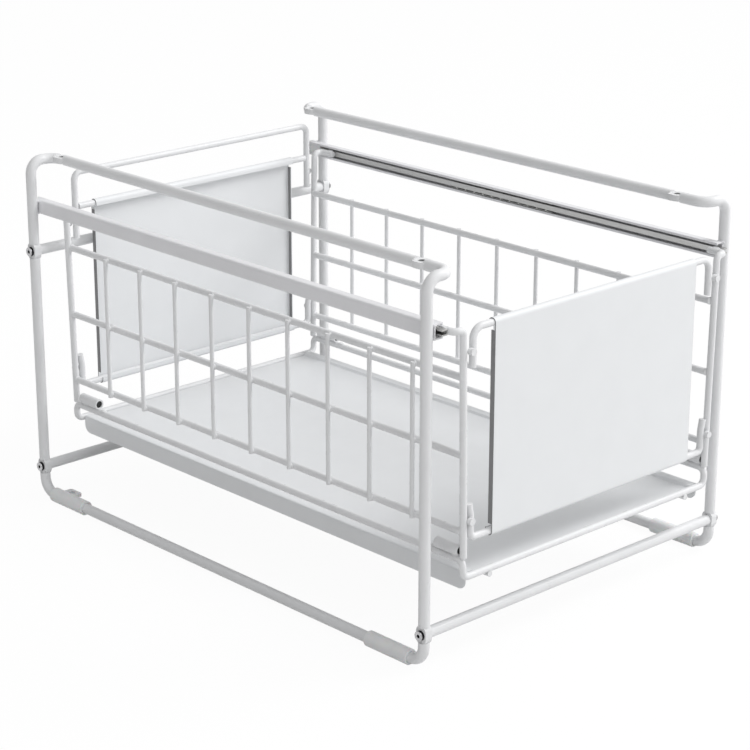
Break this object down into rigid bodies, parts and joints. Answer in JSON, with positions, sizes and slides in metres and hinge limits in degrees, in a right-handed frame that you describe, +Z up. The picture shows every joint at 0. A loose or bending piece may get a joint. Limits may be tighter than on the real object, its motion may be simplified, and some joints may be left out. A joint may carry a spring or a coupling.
{
  "type": "under sink organizer",
  "caption": "White wire stand with a basket that slides forward on ball runners, with sheet end panels and a recessed sheet tray.",
  "frame": {"origin": "centre of the bounding box in X and Y, on the plane of the feet's soles in Z", "axes": "+Z up, +Y towards the back, +X to the right when seen from the front; the basket slides out along -Y"},
  "size_m": [0.3094, 0.4542, 0.2768],
  "materials": {
    "painted_wire": "gloss powder coat",
    "basket_wire": "gloss powder coat",
    "painted_sheet": "satin powder coat",
    "painted_channel": "satin powder coat",
    "slide_steel": "zinc plated",
    "ball_steel": "polished",
    "white_plastic": "moulded",
    "black_rubber": "matte",
    "screw_steel": "dark zinc"
  },
  "bodies": {
    "stand": {"left_side_frame": "painted_wire", "right_side_frame": "painted_wire", "front_lower_crossbar": "painted_wire", "rear_lower_crossbar": "painted_wire", "rear_upper_crossbar": "painted_wire", "left_outer_slide": "painted_channel", "right_outer_slide": "painted_channel", "front_left_foot": "white_plastic", "front_right_foot": "white_plastic", "rear_left_foot": "white_plastic", "rear_right_foot": "white_plastic", "left_slide_bumper": "white_plastic", "right_slide_bumper": "white_plastic", "crossbar_screws": "screw_steel"},
    "left_cage": {"left_ball_cage": "slide_steel", "left_balls": "ball_steel"},
    "right_cage": {"right_ball_cage": "slide_steel", "right_balls": "ball_steel"},
    "basket": {"front_left_hanger": "basket_wire", "front_right_hanger": "basket_wire", "rear_left_hanger": "basket_wire", "rear_right_hanger": "basket_wire", "base_loop": "basket_wire", "floor_wires": "basket_wire", "left_side_rails": "basket_wire", "right_side_rails": "basket_wire", "left_side_bars": "basket_wire", "right_side_bars": "basket_wire", "front_panel_top_wire": "basket_wire", "front_panel_bottom_wire": "basket_wire", "rear_guard_rail": "basket_wire", "rear_panel_top_wire": "basket_wire", "rear_panel_bottom_wire": "basket_wire", "panel_pegs": "basket_wire", "corner_sleeves": "basket_wire", "tray": "painted_sheet", "front_panel": "painted_sheet", "rear_panel": "painted_sheet", "sleeve_stoppers": "black_rubber", "left_inner_slide": "slide_steel", "right_inner_slide": "slide_steel"}
  },
  "joints": [
    {"name": "basket_slide", "type": "slide", "parent": "stand", "child": "basket", "axis": [0, -1, 0], "range_m": [0, 0.3]},
    {"name": "left_cage_slide", "type": "slide", "parent": "stand", "child": "left_cage", "axis": [0, -1, 0], "range_m": [0, 0.15]},
    {"name": "right_cage_slide", "type": "slide", "parent": "stand", "child": "right_cage", "axis": [0, -1, 0], "range_m": [0, 0.15]}
  ],
  "couplings": [
    {"joint": "left_cage_slide", "follows": "basket_slide", "ratio": 0.5},
    {"joint": "right_cage_slide", "follows": "basket_slide", "ratio": 0.5}
  ]
}
